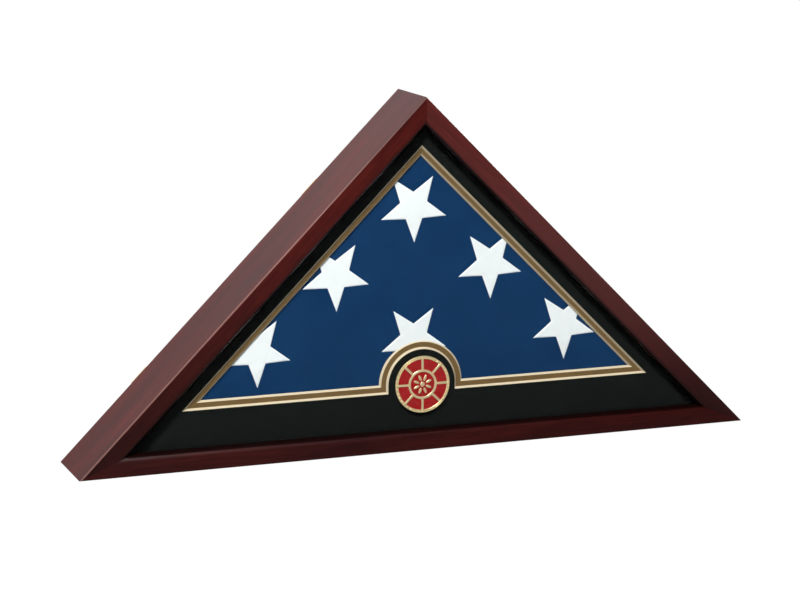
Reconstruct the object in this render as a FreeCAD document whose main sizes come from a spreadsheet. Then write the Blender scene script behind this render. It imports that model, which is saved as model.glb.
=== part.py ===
import FreeCAD, Part
import Sketcher
import math
import os

# Triangular display case for a folded flag: a mitred hardwood frame holds a pane, two bevelled
# mats with a medallion, and the flag, and a loose back panel is kept in by six turn buttons.
# Millimetres; +X right as seen from the front, +Y to the back, +Z up.
# The origin is the middle of the underside of the bottom rail.

doc = FreeCAD.newDocument("flag_case")

# Driving dimensions
sheet = doc.addObject("Spreadsheet::Sheet", "sizes")
DRIVING = [
    ("base_width", 673, "long side of the right-angled triangle"),
    ("case_depth", 78, "front to back over the wood"),
    ("face_width", 20, "rail width seen from the front"),
    ("wall", 16, "rail thickness behind the lip"),
    ("rim", 9, "rail thickness beside the back panel"),
    ("lip_depth", 7, "thickness of the front lip"),
    ("front_ease", 1.3, "rounding of the outer front edge"),
    ("lip_ease", 6.5, "rounding of the lip's inner edge"),
    ("rear_ease", 1.5, "rounding of the outer rear edge"),
    ("spline_width", 12, "hidden mitre key across the joint"),
    ("spline_thick", 3, "thickness of the mitre key"),
    ("spline_length", 56, "mitre key front to back"),
    ("spline_inset", 14, "apex corner to the middle of its key"),
    ("spline_setback", 28, "base corner to the middle of its key, along the mitre"),
    ("fit_gap", 0.1, "glue gap round a mitre key"),
    ("pane_gap", 1, "pane edge to rail wall"),
    ("pane_thick", 2, "glass"),
    ("strip_gap", 0.3, "spacer or bead to rail wall"),
    ("spacer_thick", 3.5, "pane to mat"),
    ("spacer_width", 3.5, "spacer across the wall"),
    ("mat_gap", 0.5, "mat edge to rail wall"),
    ("mat_thick", 1.8, "each mat board"),
    ("bevel_run", 1.8, "slant of a mat's cut edge, across the board"),
    ("leg_margin", 32.7, "outer slope to the upper mat's window"),
    ("base_margin", 54.2, "underside to the upper mat's window"),
    ("leg_reveal", 5.4, "lower mat that shows along the slopes"),
    ("base_reveal", 6.6, "lower mat that shows along the base and the arch"),
    ("arch_radius", 33.7, "upper mat's arch under the medallion"),
    ("arch_height", 61.7, "underside to the arch's and medallion's centre"),
    ("bead_width", 6, "retaining bead across and deep"),
    ("brad_radius", 0.6, "bead pin"),
    ("brad_length", 14, "bead pin"),
    ("base_brad", 200, "bead pin from the middle of the bottom rail"),
    ("slope_brad", 110, "bead pin from the middle of a sloping rail"),
    ("medal_radius", 27.5, "medallion"),
    ("medal_base", 1.2, "medallion's back plate"),
    ("medal_rim", 2.9, "width of its raised rim"),
    ("medal_relief", 1.2, "height of its rim over the plate"),
    ("medal_ring", 14.4, "outer radius of its inner ring"),
    ("medal_ring_width", 2.4, "width of its inner ring"),
    ("medal_boss", 5, "radius of its centre boss"),
    ("medal_rib", 2.4, "width of its ribs"),
    ("medal_rib_rise", 1, "height of its ribs over the plate"),
    ("enamel_depth", 0.7, "enamel over the plate"),
    ("pad_radius", 20, "adhesive pad under the medallion"),
    ("pad_thick", 0.6, "adhesive pad"),
    ("flag_gap", 0.8, "flag to the wall, mat and lining"),
    ("flag_corner", 26, "rounding of the flag's three corners"),
    ("flag_front_fold", 20, "rounding of the flag's front folds"),
    ("flag_rear_fold", 9, "rounding of the flag's rear folds"),
    ("panel_thick", 5, "back panel"),
    ("panel_gap", 0.5, "panel edge to rim"),
    ("lining_thick", 1, "felt on the panel"),
    ("lining_inset", 1, "felt edge to rail wall"),
    ("button_width", 8, "turn button"),
    ("button_reach", 18, "turn button, pivot to far centre"),
    ("button_thick", 1.6, "turn button"),
    ("button_bore", 1.6, "radius of the turn button's hole"),
    ("button_lift", 0.3, "turn button off the wood"),
    ("screw_radius", 1.52, "screw shank"),
    ("screw_bite", 14, "screw length in the wood"),
    ("screw_point", 4, "length of the screw's taper"),
    ("screw_head", 3.4, "radius of the screw head"),
    ("screw_crown", 2, "height of the screw head"),
    ("screw_slot", 0.9, "width and depth of the driver slot"),
    ("slope_button", 120, "turn button from the middle of a sloping rail"),
    ("base_button", 170, "turn button from the middle of the bottom rail"),
]
for row, (alias, value, note) in enumerate(DRIVING, start=1):
    sheet.set(f"A{row}", note)
    sheet.set(f"B{row}", str(value))
    sheet.setAlias(f"B{row}", alias)
doc.recompute()

HALF = "(sizes.base_width / 2)"
FRONT = "(-sizes.case_depth / 2)"
REAR = "(sizes.case_depth / 2)"
LIP_BACK = f"({FRONT} + sizes.lip_depth)"
PANE_BACK = f"({LIP_BACK} + sizes.pane_thick)"
MAT_FRONT = f"({PANE_BACK} + sizes.spacer_thick)"
MAT_MIDDLE = f"({MAT_FRONT} + sizes.mat_thick)"
MAT_BACK = f"({MAT_MIDDLE} + sizes.mat_thick)"
LEDGE = f"({REAR} - sizes.panel_thick)"
LINING_FRONT = f"({LEDGE} - sizes.lining_thick)"
BASE_MITRE = 22.5
APEX_MITRE = 45
OVERSHOOT = 1
SAME_PLACE = 0.01
FACING_FRONT = FreeCAD.Rotation(FreeCAD.Vector(1, 0, 0), 90)
subparts = []


def value(expression):
    return float(sheet.evalExpression(expression))


def turn(angle):
    return FreeCAD.Rotation(FreeCAD.Vector(0, 1, 0), angle)


# Triangle at a distance inside the case's outline, and the mitred strip between two of them
def corner(name, inset):
    reach = f"({HALF} - ({inset}) * (1 + sqrt(2)))"
    return {
        "left": (f"-{reach}", inset),
        "right": (reach, inset),
        "apex": ("0", f"({HALF} - ({inset}) * sqrt(2))"),
    }[name]


def triangle(inset):
    return [corner(name, inset) for name in ("left", "right", "apex")]


def strip(side, outer, inner):
    ends = {"left": ("left", "apex"), "right": ("apex", "right"), "bottom": ("right", "left")}
    first, last = ends[side]
    return [corner(first, outer), corner(last, outer), corner(last, inner), corner(first, inner)]


def rectangle(left, right, half_width):
    return [(left, f"-{half_width}"), (right, f"-{half_width}"), (right, half_width), (left, half_width)]


# Sketches: every corner is held to the sketch's origin by two dimensions taken from the sheet
def new_body(label):
    body = doc.addObject("PartDesign::Body", label)
    body.Label = label
    return body


def new_sketch(body, name, role, offset="0"):
    sketch = body.newObject("Sketcher::SketchObject", name)
    origin_plane = next(f for f in body.Origin.OriginFeatures if f.Role == role)
    sketch.AttachmentSupport = [(origin_plane, "")]
    sketch.MapMode = "FlatFace"
    sketch.setExpression("AttachmentOffset.Base.z", offset)
    return sketch


def hold(sketch, geometry, end, point, key):
    axes = (("DistanceX", -2, point[0], "x"), ("DistanceY", -1, point[1], "y"))
    for kind, axis, expression, letter in axes:
        if expression == "0":
            sketch.addConstraint(Sketcher.Constraint("PointOnObject", geometry, end, axis))
            continue
        constraint = Sketcher.Constraint(kind, -1, 1, geometry, end, value(expression))
        index = sketch.addConstraint(constraint)
        sketch.renameConstraint(index, f"{letter}_{key}")
        sketch.setExpression(f"Constraints.{letter}_{key}", expression)


def outline(sketch, points):
    spots = [FreeCAD.Vector(value(x), value(y), 0) for x, y in points]
    first = sketch.GeometryCount
    count = len(spots)
    for index, spot in enumerate(spots):
        sketch.addGeometry(Part.LineSegment(spot, spots[(index + 1) % count]), False)
    for index in range(count):
        following = first + (index + 1) % count
        sketch.addConstraint(Sketcher.Constraint("Coincident", first + index, 2, following, 1))
        hold(sketch, first + index, 1, points[index], f"{first}_{index}")


def pad(body, sketch, length):
    feature = body.newObject("PartDesign::Pad", f"{sketch.Name}_pad")
    feature.Profile = sketch
    feature.setExpression("Length", length)
    doc.recompute()
    return feature


def pocket(body, sketch, length, backwards=False):
    before = body.Shape.Volume
    feature = body.newObject("PartDesign::Pocket", f"{sketch.Name}_pocket")
    feature.Profile = sketch
    feature.Reversed = backwards
    feature.setExpression("Length", length)
    doc.recompute()
    if body.Shape.Volume >= before:
        raise RuntimeError(f"{feature.Name} cuts nothing")
    return feature


# A flat plate between two depths, drawn in the XZ plane
def plate(label, points, front, thick):
    body = new_body(label)
    sketch = new_sketch(body, f"{label}_outline", "XZ_Plane", f"-({front} + {thick})")
    outline(sketch, points)
    pad(body, sketch, thick)
    subparts.append(body)


def round_edges(body, feature, name, radius, chosen):
    edges = [f"Edge{i}" for i, edge in enumerate(feature.Shape.Edges, start=1) if chosen(edge)]
    fillet = body.newObject("PartDesign::Fillet", name)
    fillet.Base = (feature, edges)
    fillet.setExpression("Radius", radius)
    doc.recompute()
    return fillet


# Frame rails: one moulding section, cut to length and mitred, with keyways in the mitres
RAILS = {
    "bottom": ("sizes.base_width", BASE_MITRE, BASE_MITRE),
    "left": ("sizes.base_width / sqrt(2)", APEX_MITRE, BASE_MITRE),
    "right": ("sizes.base_width / sqrt(2)", BASE_MITRE, APEX_MITRE),
}
RAIL_TURN = {"bottom": 0, "left": 135, "right": 225}
RAIL_MIDDLE = {
    "bottom": ("0", "0"),
    "left": (f"-{HALF} / 2", f"{HALF} / 2"),
    "right": (f"{HALF} / 2", f"{HALF} / 2"),
}


def rail_place(side, along=0, up=0, depth=0):
    middle = FreeCAD.Vector(value(RAIL_MIDDLE[side][0]), 0, value(RAIL_MIDDLE[side][1]))
    rail = FreeCAD.Placement(middle, turn(RAIL_TURN[side]))
    return rail.multiply(FreeCAD.Placement(FreeCAD.Vector(along, depth, up), FreeCAD.Rotation()))


def on_edge(y, z):
    def chosen(edge):
        middle = edge.CenterOfMass
        along = edge.Vertexes[-1].Point - edge.Vertexes[0].Point
        off = math.hypot(middle.y - value(y), middle.z - value(z))
        return abs(along.x) > 1 and off < SAME_PLACE
    return chosen


def keyway(length, end, mitre):
    if mitre == APEX_MITRE:
        run = "sizes.spline_inset"
    else:
        run = "sizes.spline_setback"
    cos, sin = math.cos(math.radians(mitre)), math.sin(math.radians(mitre))
    middle = (f"{end} * (({length}) / 2 - {run} * {cos})", f"{run} * {sin}")
    wide = "(sizes.spline_width / 2 + sizes.fit_gap)"
    thick = "(sizes.spline_thick / 2 + sizes.fit_gap)"
    spots = []
    for across, along in ((1, 1), (-1, 1), (-1, -1), (1, -1)):
        x = f"{middle[0]} - {end} * ({across} * {wide} * {sin} + {along} * {thick} * {cos})"
        y = f"{middle[1]} - {across} * {wide} * {cos} + {along} * {thick} * {sin}"
        spots.append((x, y))
    return spots


SECTION = [
    (FRONT, "0"), (REAR, "0"), (REAR, "sizes.rim"), (LEDGE, "sizes.rim"),
    (LEDGE, "sizes.wall"), (LIP_BACK, "sizes.wall"),
    (LIP_BACK, "sizes.face_width"), (FRONT, "sizes.face_width"),
]
for side, (length, start_mitre, end_mitre) in RAILS.items():
    body = new_body(f"{side}_rail")
    section = new_sketch(body, f"{side}_section", "YZ_Plane", f"-({length}) / 2")
    outline(section, SECTION)
    moulding = pad(body, section, length)
    for name, radius, y, z in (
        ("front", "sizes.front_ease", FRONT, "0"),
        ("lip", "sizes.lip_ease", FRONT, "sizes.face_width"),
        ("rear", "sizes.rear_ease", REAR, "0"),
    ):
        moulding = round_edges(body, moulding, f"{side}_{name}_ease", radius, on_edge(y, z))
    mitres = new_sketch(body, f"{side}_mitres", "XZ_Plane", f"{REAR}")
    spare = f"(sizes.face_width + {OVERSHOOT})"
    for end, mitre in ((-1, start_mitre), (1, end_mitre)):
        tip = f"{end} * ({length}) / 2"
        slope = 1 / math.tan(math.radians(mitre))
        clear = f"{tip} + {end} * {OVERSHOOT}"
        inner = f"{tip} - {end} * {spare} * {slope}"
        outline(mitres, [(tip, "0"), (inner, spare), (clear, spare), (clear, "0")])
    pocket(body, mitres, "sizes.case_depth")
    keyways = new_sketch(body, f"{side}_keyways", "XZ_Plane", "sizes.spline_length / 2 + sizes.fit_gap")
    for end, mitre in ((-1, start_mitre), (1, end_mitre)):
        outline(keyways, keyway(length, end, mitre))
    pocket(body, keyways, "sizes.spline_length + 2 * sizes.fit_gap")
    body.Placement = rail_place(side)
    subparts.append(body)

# Mitre keys: a flat hardwood tongue glued across each corner
SETBACK_X = f"({HALF} - sizes.spline_setback * cos({BASE_MITRE}))"
SETBACK_Z = f"(sizes.spline_setback * sin({BASE_MITRE}))"
KEYS = {
    "apex": ("0", f"{HALF} - sizes.spline_inset", 0),
    "left": (f"-{SETBACK_X}", SETBACK_Z, 90 - BASE_MITRE),
    "right": (SETBACK_X, SETBACK_Z, BASE_MITRE - 90),
}
for name, (x, z, angle) in KEYS.items():
    key = doc.addObject("Part::Box", f"{name}_spline")
    key.setExpression("Length", "sizes.spline_width")
    key.setExpression("Width", "sizes.spline_length")
    key.setExpression("Height", "sizes.spline_thick")
    doc.recompute()
    corner_offset = FreeCAD.Vector(-key.Length.Value / 2, -key.Width.Value / 2, -key.Height.Value / 2)
    centre = FreeCAD.Placement(FreeCAD.Vector(value(x), 0, value(z)), turn(angle))
    key.Placement = centre.multiply(FreeCAD.Placement(corner_offset, FreeCAD.Rotation()))
    key.Label = f"{name}_spline"
    subparts.append(key)

# Pane behind the lip, and the spacers and beads that hold the glazing stack
plate("glass_pane", triangle("sizes.wall + sizes.pane_gap"), LIP_BACK, "sizes.pane_thick")
STRIP_OUTER = "(sizes.wall + sizes.strip_gap)"
for side in ("left", "right", "bottom"):
    plate(f"{side}_spacer", strip(side, STRIP_OUTER, f"{STRIP_OUTER} + sizes.spacer_width"),
          PANE_BACK, "sizes.spacer_thick")
    plate(f"{side}_bead", strip(side, STRIP_OUTER, f"{STRIP_OUTER} + sizes.bead_width"),
          MAT_BACK, "sizes.bead_width")

# Mats: a board with a bevelled triangular window, and a round-headed tongue under the medallion
TONGUE_FOOT = 5


def mat(label, front, leg_grow, base_grow):
    leg = f"(sizes.leg_margin + {leg_grow})"
    base = f"(sizes.base_margin + {base_grow})"
    radius = f"(sizes.arch_radius + {base_grow})"
    board = new_body(f"{label}_board")
    blank = new_sketch(board, f"{label}_blank", "XZ_Plane", f"-({front} + sizes.mat_thick)")
    outline(blank, triangle("sizes.wall + sizes.mat_gap"))
    pad(board, blank, "sizes.mat_thick")
    window = new_sketch(board, f"{label}_window", "XZ_Plane", f"-{front}")
    reach = f"({HALF} - {leg} * sqrt(2) - {base})"
    outline(window, [(f"-{reach}", base), (reach, base), ("0", f"({HALF} - {leg} * sqrt(2))")])
    opening = pocket(board, window, "sizes.mat_thick")
    opening.setExpression("TaperAngle", "-atan(sizes.bevel_run / sizes.mat_thick)")
    arch = doc.addObject("Part::Cone", f"{label}_arch")
    arch.setExpression("Radius1", f"{radius} + sizes.bevel_run")
    arch.setExpression("Radius2", radius)
    arch.setExpression("Height", "sizes.mat_thick")
    arch_back = FreeCAD.Vector(0, value(f"{front} + sizes.mat_thick"), value("sizes.arch_height"))
    arch.Placement = FreeCAD.Placement(arch_back, FACING_FRONT)
    tongue = doc.addObject("Part::Wedge", f"{label}_tongue")
    for name, expression in (
        ("Xmin", f"-{radius}"), ("Xmax", radius),
        ("X2min", f"-{radius} - sizes.bevel_run"), ("X2max", f"{radius} + sizes.bevel_run"),
        ("Zmin", f"{base} - {TONGUE_FOOT}"), ("Zmax", "sizes.arch_height"),
        ("Z2min", f"{base} - {TONGUE_FOOT}"), ("Z2max", "sizes.arch_height"),
        ("Ymin", front), ("Ymax", f"{front} + sizes.mat_thick"),
    ):
        tongue.setExpression(name, expression)
    whole = doc.addObject("Part::MultiFuse", label)
    whole.Shapes = [board, arch, tongue]
    whole.Refine = True
    whole.Label = label
    subparts.append(whole)


mat("upper_mat", MAT_FRONT, "0", "0")
mat("lower_mat", MAT_MIDDLE, "sizes.leg_reveal", "sizes.base_reveal")

# Medallion: a struck plate with rim, ring, ribs and boss, enamel in its fields, and a sticky pad
RIBS = 8
MEDAL_BACK = FreeCAD.Vector(0, value(f"{MAT_FRONT} - sizes.pad_thick"), value("sizes.arch_height"))
MEDAL_AT = FreeCAD.Placement(MEDAL_BACK, FreeCAD.Rotation())
PLATE_FRONT = "-sizes.medal_base"
RELIEF_FRONT = "(-sizes.medal_base - sizes.medal_relief)"
FIELD = "(sizes.medal_radius - sizes.medal_rim)"
RING_BORE = "(sizes.medal_ring - sizes.medal_ring_width)"

medal = new_body("medallion_plate")
profile = new_sketch(medal, "medallion_profile", "XY_Plane")
outline(profile, [
    ("0", "0"), ("sizes.medal_radius", "0"), ("sizes.medal_radius", RELIEF_FRONT), (FIELD, RELIEF_FRONT),
    (FIELD, PLATE_FRONT), ("sizes.medal_ring", PLATE_FRONT), ("sizes.medal_ring", RELIEF_FRONT),
    (RING_BORE, RELIEF_FRONT), (RING_BORE, PLATE_FRONT), ("sizes.medal_boss", PLATE_FRONT),
    ("sizes.medal_boss", RELIEF_FRONT), ("0", RELIEF_FRONT),
])
struck = medal.newObject("PartDesign::Revolution", "medallion_turned")
struck.Profile = profile
struck.ReferenceAxis = (profile, ["V_Axis"])
struck.Angle = 360
doc.recompute()
rib_sketch = new_sketch(medal, "medallion_rib", "XZ_Plane", "sizes.medal_base / 2")
rib_start = "sizes.medal_ring - sizes.medal_ring_width / 2"
rib_end = f"{FIELD} + sizes.medal_rim / 2"
outline(rib_sketch, rectangle(rib_start, rib_end, "sizes.medal_rib / 2"))
rib = pad(medal, rib_sketch, "sizes.medal_base / 2 + sizes.medal_rib_rise")
ribs = medal.newObject("PartDesign::PolarPattern", "medallion_ribs")
ribs.Originals = [rib]
ribs.Axis = (next(f for f in medal.Origin.OriginFeatures if f.Role == "Y_Axis"), [""])
ribs.Angle = 360
ribs.Occurrences = RIBS
medal.Tip = ribs
medal.Placement = MEDAL_AT
subparts.append(medal)


def disc(name, radius, thick):
    cylinder = doc.addObject("Part::Cylinder", name)
    cylinder.setExpression("Radius", radius)
    cylinder.setExpression("Height", thick)
    cylinder.Placement = FreeCAD.Placement(FreeCAD.Vector(), FACING_FRONT)
    return cylinder


def washer(name, outer, inner, thick):
    ring = doc.addObject("Part::Cut", name)
    ring.Base = disc(f"{name}_outer", outer, thick)
    ring.Tool = disc(f"{name}_inner", inner, thick)
    return ring


outer_field = washer("outer_field", FIELD, "sizes.medal_ring", "sizes.enamel_depth")
spokes = []
for index in range(RIBS // 2):
    spoke = doc.addObject("Part::Box", f"enamel_spoke_{index}")
    spoke.setExpression("Length", "2 * sizes.medal_radius")
    spoke.setExpression("Width", "2 * sizes.enamel_depth")
    spoke.setExpression("Height", "sizes.medal_rib")
    doc.recompute()
    middle = FreeCAD.Vector(-spoke.Length.Value / 2, -spoke.Width.Value / 2, -spoke.Height.Value / 2)
    turned_spoke = FreeCAD.Placement(FreeCAD.Vector(), turn(index * 360 / RIBS))
    spoke.Placement = turned_spoke.multiply(FreeCAD.Placement(middle, FreeCAD.Rotation()))
    spokes.append(spoke)
spider = doc.addObject("Part::MultiFuse", "enamel_spider")
spider.Shapes = spokes
sectors = doc.addObject("Part::Cut", "enamel_sectors")
sectors.Base = outer_field
sectors.Tool = spider
inner_field = washer("inner_field", RING_BORE, "sizes.medal_boss", "sizes.enamel_depth")
enamel = doc.addObject("Part::Compound", "medallion_enamel")
enamel.Links = [sectors, inner_field]
enamel_back = MEDAL_BACK + FreeCAD.Vector(0, value(PLATE_FRONT), 0)
enamel.Placement = FreeCAD.Placement(enamel_back, FreeCAD.Rotation())
enamel.Label = "medallion_enamel"
subparts.append(enamel)

sticky = disc("medallion_pad", "sizes.pad_radius", "sizes.pad_thick")
pad_back = FreeCAD.Vector(0, value(MAT_FRONT), value("sizes.arch_height"))
sticky.Placement = FreeCAD.Placement(pad_back, FACING_FRONT)
sticky.Label = "medallion_pad"
subparts.append(sticky)

# Bead pins: headless nails driven through the beads into the rails
BRADS = [("bottom", "-sizes.base_brad"), ("bottom", "0"), ("bottom", "sizes.base_brad")]
BRADS += [(side, f"{sign}sizes.slope_brad") for side in ("left", "right") for sign in ("-", "")]
PIN_POINT = f"{STRIP_OUTER} + sizes.bead_width - sizes.brad_length"
PIN_DEPTH = f"{MAT_BACK} + sizes.bead_width / 2"
pins = []
for side, along in BRADS:
    pin = Part.makeCylinder(value("sizes.brad_radius"), value("sizes.brad_length"))
    pin.Placement = rail_place(side, value(along), value(PIN_POINT), value(PIN_DEPTH))
    pins.append(pin)
brads = doc.addObject("Part::Feature", "bead_brads")
brads.Shape = Part.makeCompound(pins)
subparts.append(brads)

# Folded flag: a thick triangular bundle with round folds, resting on the bottom rail
FLAG_FRONT = f"({MAT_BACK} + sizes.flag_gap)"
FLAG_BACK = f"({LINING_FRONT} - sizes.flag_gap)"
flag = new_body("folded_flag")
bundle = new_sketch(flag, "flag_outline", "XZ_Plane", f"-{FLAG_BACK}")
outline(bundle, triangle("sizes.wall + sizes.flag_gap"))
folds = pad(flag, bundle, f"{FLAG_BACK} - {FLAG_FRONT}")


def along_depth(edge):
    box = edge.BoundBox
    return box.YLength > 1 and box.XLength < SAME_PLACE and box.ZLength < SAME_PLACE


def at_depth(depth):
    def chosen(edge):
        box = edge.BoundBox
        return box.YLength < SAME_PLACE and abs(box.YMin - value(depth)) < SAME_PLACE
    return chosen


folds = round_edges(flag, folds, "flag_corners", "sizes.flag_corner", along_depth)
folds = round_edges(flag, folds, "flag_front", "sizes.flag_front_fold", at_depth(FLAG_FRONT))
folds = round_edges(flag, folds, "flag_rear", "sizes.flag_rear_fold", at_depth(FLAG_BACK))
subparts.append(flag)

# Back panel: a loose board in the rear rebate, with felt on its inner side
plate("back_panel", triangle("sizes.rim + sizes.panel_gap"), LEDGE, "sizes.panel_thick")
plate("panel_lining", triangle("sizes.wall + sizes.lining_inset"), LINING_FRONT, "sizes.lining_thick")

# Turn buttons: round-ended brass strips on slotted screws, stored along the rim
PIVOTS = [
    ("bottom", "-sizes.base_button"), ("bottom", "sizes.base_button"), ("left", "-sizes.slope_button"),
    ("left", "sizes.slope_button"), ("right", "-sizes.slope_button"), ("right", "sizes.slope_button"),
]
PIVOT_UP = "sizes.rim / 2"


def button(label, side, along):
    body = new_body(label)
    sketch = new_sketch(body, f"{label}_outline", "XZ_Plane", "-sizes.button_thick")
    radius = value("sizes.button_width / 2")
    pivot, tip = FreeCAD.Vector(), FreeCAD.Vector(value("sizes.button_reach"), 0, 0)
    side_way, up = FreeCAD.Vector(0, radius, 0), FreeCAD.Vector(0, 0, 1)
    quarter = math.pi / 2
    sketch.addGeometry(Part.ArcOfCircle(Part.Circle(pivot, up, radius), quarter, 3 * quarter), False)
    sketch.addGeometry(Part.LineSegment(pivot - side_way, tip - side_way), False)
    sketch.addGeometry(Part.ArcOfCircle(Part.Circle(tip, up, radius), -quarter, quarter), False)
    sketch.addGeometry(Part.LineSegment(tip + side_way, pivot + side_way), False)
    sketch.addGeometry(Part.Circle(pivot, up, value("sizes.button_bore")), False)
    for pair in ((0, 2, 1, 1), (1, 2, 2, 1), (2, 2, 3, 1), (3, 2, 0, 1)):
        sketch.addConstraint(Sketcher.Constraint("Tangent", *pair))
    sketch.addConstraint(Sketcher.Constraint("Coincident", 0, 3, -1, 1))
    sketch.addConstraint(Sketcher.Constraint("Coincident", 4, 3, -1, 1))
    sketch.addConstraint(Sketcher.Constraint("PointOnObject", 2, 3, -1))
    for name, constraint, expression in (
        ("end_radius", Sketcher.Constraint("Radius", 0, radius), "sizes.button_width / 2"),
        ("bore", Sketcher.Constraint("Radius", 4, value("sizes.button_bore")), "sizes.button_bore"),
        ("reach", Sketcher.Constraint("DistanceX", 0, 3, 2, 3, tip.x), "sizes.button_reach"),
    ):
        sketch.renameConstraint(sketch.addConstraint(constraint), name)
        sketch.setExpression(f"Constraints.{name}", expression)
    pad(body, sketch, "sizes.button_thick")
    body.Placement = rail_place(side, value(along), value(PIVOT_UP), value(f"{REAR} + sizes.button_lift"))
    subparts.append(body)


for number, (side, along) in enumerate(PIVOTS, start=1):
    button(f"turn_button_{number}", side, along)

UNDER_HEAD = "(2 * sizes.button_lift + sizes.button_thick)"
HEAD_TOP = f"({UNDER_HEAD} + sizes.screw_crown)"
screw = new_body("slotted_screw")
screw_half = new_sketch(screw, "screw_half", "XY_Plane")
SCREW_POINTS = [
    ("0", HEAD_TOP), ("0", "-sizes.screw_bite"),
    ("sizes.screw_radius", "-sizes.screw_bite + sizes.screw_point"),
    ("sizes.screw_radius", UNDER_HEAD), ("sizes.screw_head", UNDER_HEAD),
]
spots = [FreeCAD.Vector(value(x), value(y), 0) for x, y in SCREW_POINTS]
for start, finish in zip(spots, spots[1:]):
    screw_half.addGeometry(Part.LineSegment(start, finish), False)
head_radius, crown = value("sizes.screw_head"), value("sizes.screw_crown")
dome = (head_radius ** 2 + crown ** 2) / (2 * crown)
dome_centre = FreeCAD.Vector(0, value(HEAD_TOP) - dome, 0)
half_way = math.radians(90) - math.asin(head_radius / dome) / 2
dome_middle = dome_centre + FreeCAD.Vector(math.cos(half_way), math.sin(half_way), 0) * dome
screw_half.addGeometry(Part.Arc(spots[-1], dome_middle, spots[0]), False)
screw_half.addConstraint(Sketcher.Constraint("PointOnObject", len(spots) - 1, 3, -2))
for index, point in enumerate(SCREW_POINTS):
    screw_half.addConstraint(Sketcher.Constraint("Coincident", index, 2, (index + 1) % len(spots), 1))
    hold(screw_half, index, 1, point, str(index))
turned = screw.newObject("PartDesign::Revolution", "screw_turned")
turned.Profile = screw_half
turned.ReferenceAxis = (screw_half, ["V_Axis"])
turned.Angle = 360
doc.recompute()
slot = new_sketch(screw, "screw_slot", "XZ_Plane", f"-{HEAD_TOP}")
slot_end = f"(sizes.screw_head + {OVERSHOOT})"
outline(slot, rectangle(f"-{slot_end}", slot_end, "sizes.screw_slot / 2"))
pocket(screw, slot, "sizes.screw_slot", backwards=True)
screws = doc.addObject("Part::Feature", "turn_button_screws")
copies = []
for side, along in PIVOTS:
    copy = screw.Shape.copy()
    copy.Placement = rail_place(side, value(along), value(PIVOT_UP), value(REAR))
    copies.append(copy)
screws.Shape = Part.makeCompound(copies)
subparts.append(screws)

# Check every object, then write one file for each sub-part
doc.recompute()
for item in doc.Objects:
    if "Invalid" in item.State or "Error" in item.State:
        raise RuntimeError(f"{item.Name} did not build: {item.State}")
for item in subparts:
    if item.Shape.isNull() or not item.Shape.isValid():
        raise RuntimeError(f"{item.Label} has no valid shape")
os.makedirs("parts", exist_ok=True)
for item in subparts:
    item.Shape.exportStep(f"parts/{item.Label}.step")
    print(item.Label, len(item.Shape.Solids), f"{item.Shape.Volume:.0f} mm3")
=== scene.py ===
import bmesh
import bpy
import math
from mathutils import Matrix, Vector, noise


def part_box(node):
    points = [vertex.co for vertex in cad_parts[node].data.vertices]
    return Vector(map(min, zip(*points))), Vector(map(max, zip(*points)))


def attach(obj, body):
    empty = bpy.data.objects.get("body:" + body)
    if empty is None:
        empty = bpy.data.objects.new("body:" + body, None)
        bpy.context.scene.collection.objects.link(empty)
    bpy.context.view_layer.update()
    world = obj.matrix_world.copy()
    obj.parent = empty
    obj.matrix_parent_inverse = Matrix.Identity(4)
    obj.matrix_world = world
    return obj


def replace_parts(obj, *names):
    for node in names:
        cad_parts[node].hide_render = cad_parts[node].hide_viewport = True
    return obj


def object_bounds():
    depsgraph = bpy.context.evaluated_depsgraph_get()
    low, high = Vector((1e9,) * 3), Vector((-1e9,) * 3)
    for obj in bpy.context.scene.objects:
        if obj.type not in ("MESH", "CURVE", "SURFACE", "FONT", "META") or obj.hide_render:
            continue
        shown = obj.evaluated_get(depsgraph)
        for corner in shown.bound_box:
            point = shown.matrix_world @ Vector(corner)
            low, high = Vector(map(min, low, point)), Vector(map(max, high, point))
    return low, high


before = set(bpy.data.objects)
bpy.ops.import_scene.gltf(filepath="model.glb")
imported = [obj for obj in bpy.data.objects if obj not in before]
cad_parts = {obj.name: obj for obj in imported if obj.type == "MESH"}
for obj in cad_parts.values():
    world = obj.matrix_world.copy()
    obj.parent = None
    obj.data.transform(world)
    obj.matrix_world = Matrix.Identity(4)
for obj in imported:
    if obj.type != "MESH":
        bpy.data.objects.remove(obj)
cad_low, cad_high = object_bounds()

# Frame rails
# Three lengths of hardwood moulding, lipped in front and rebated behind, mitred and glued at the corners.
# They are stained dark red and finished with a satin lacquer, and painted light is added to the stain: a
# highlight line along the left board's front arris, shade low on the front faces and on the lip's rounding,
# and a sheen on the right board.
MM = 0.001
SAME_PLACE = 0.01 * MM
HALF_WIDTH = cad_high.x
SLOPE = math.sqrt(2)
CASE_FRONT = cad_low.y
CASE_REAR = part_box("bottom_rail")[1].y
FACE_WIDTH = 20 * MM
WALL = 16 * MM
RIM = 9 * MM
LIP_DEPTH = 7 * MM
LEDGE_DEPTH = 5 * MM
LIP_BACK = CASE_FRONT + LIP_DEPTH
LEDGE = CASE_REAR - LEDGE_DEPTH
RAIL_SECTION = [
    (CASE_FRONT, 0), (CASE_REAR, 0), (CASE_REAR, RIM), (LEDGE, RIM),
    (LEDGE, WALL), (LIP_BACK, WALL), (LIP_BACK, FACE_WIDTH), (CASE_FRONT, FACE_WIDTH),
]
ARRIS = 1.3 * MM
LIP_ROUND = 6.5 * MM
REAR_ARRIS = 1.5 * MM
RIM_ARRIS = 0.5 * MM
# Where each rounded edge lies, its radius and the steps round it
RAIL_EASING = [
    (CASE_FRONT, 0, ARRIS, 6), (CASE_FRONT, FACE_WIDTH, LIP_ROUND, 14),
    (CASE_REAR, 0, REAR_ARRIS, 5), (CASE_REAR, RIM, RIM_ARRIS, 3),
]
MITRE_EASE = 0.25 * MM
BASE_MITRE = math.radians(22.5)
APEX_MITRE = math.radians(45)
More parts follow.
